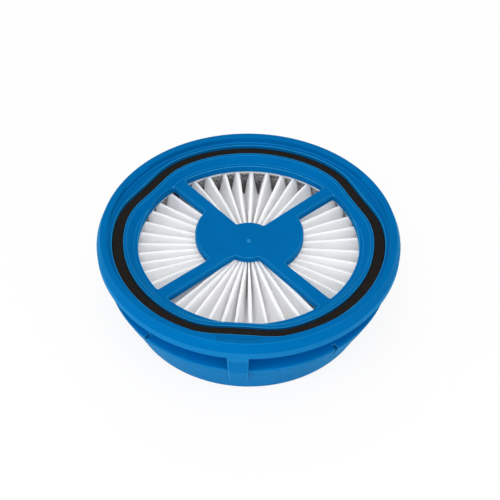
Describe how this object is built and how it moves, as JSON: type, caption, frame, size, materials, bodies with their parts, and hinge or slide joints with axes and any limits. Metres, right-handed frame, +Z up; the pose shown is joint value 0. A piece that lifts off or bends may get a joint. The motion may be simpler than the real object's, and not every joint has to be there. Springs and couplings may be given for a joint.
{
  "type": "vacuum filter",
  "caption": "Round pleated vacuum cleaner filter in a tapered blue plastic cage, with a dished rim, lobed foam gasket, recessed cross grilles on both faces and snap arms.",
  "frame": {"origin": "centre of the base, on the surface that the filter stands on", "axes": "+Z up along the filter's axis, towards the gasket side; one snap arm points along -Y"},
  "size_m": [0.1438, 0.1438, 0.045],
  "materials": {
    "upper_plastic": "satin moulded",
    "lower_plastic": "satin moulded",
    "filter_sheet": "matte fibrous",
    "foam": "open-pored foam",
    "adhesive": "hardened adhesive",
    "plug_adhesive": "hardened adhesive"
  },
  "bodies": {
    "root": {"upper_frame": "upper_plastic", "lower_frame": "lower_plastic", "filter_media": "filter_sheet", "gasket": "foam", "edge_seal": "adhesive", "center_plug": "plug_adhesive"}
  },
  "joints": []
}
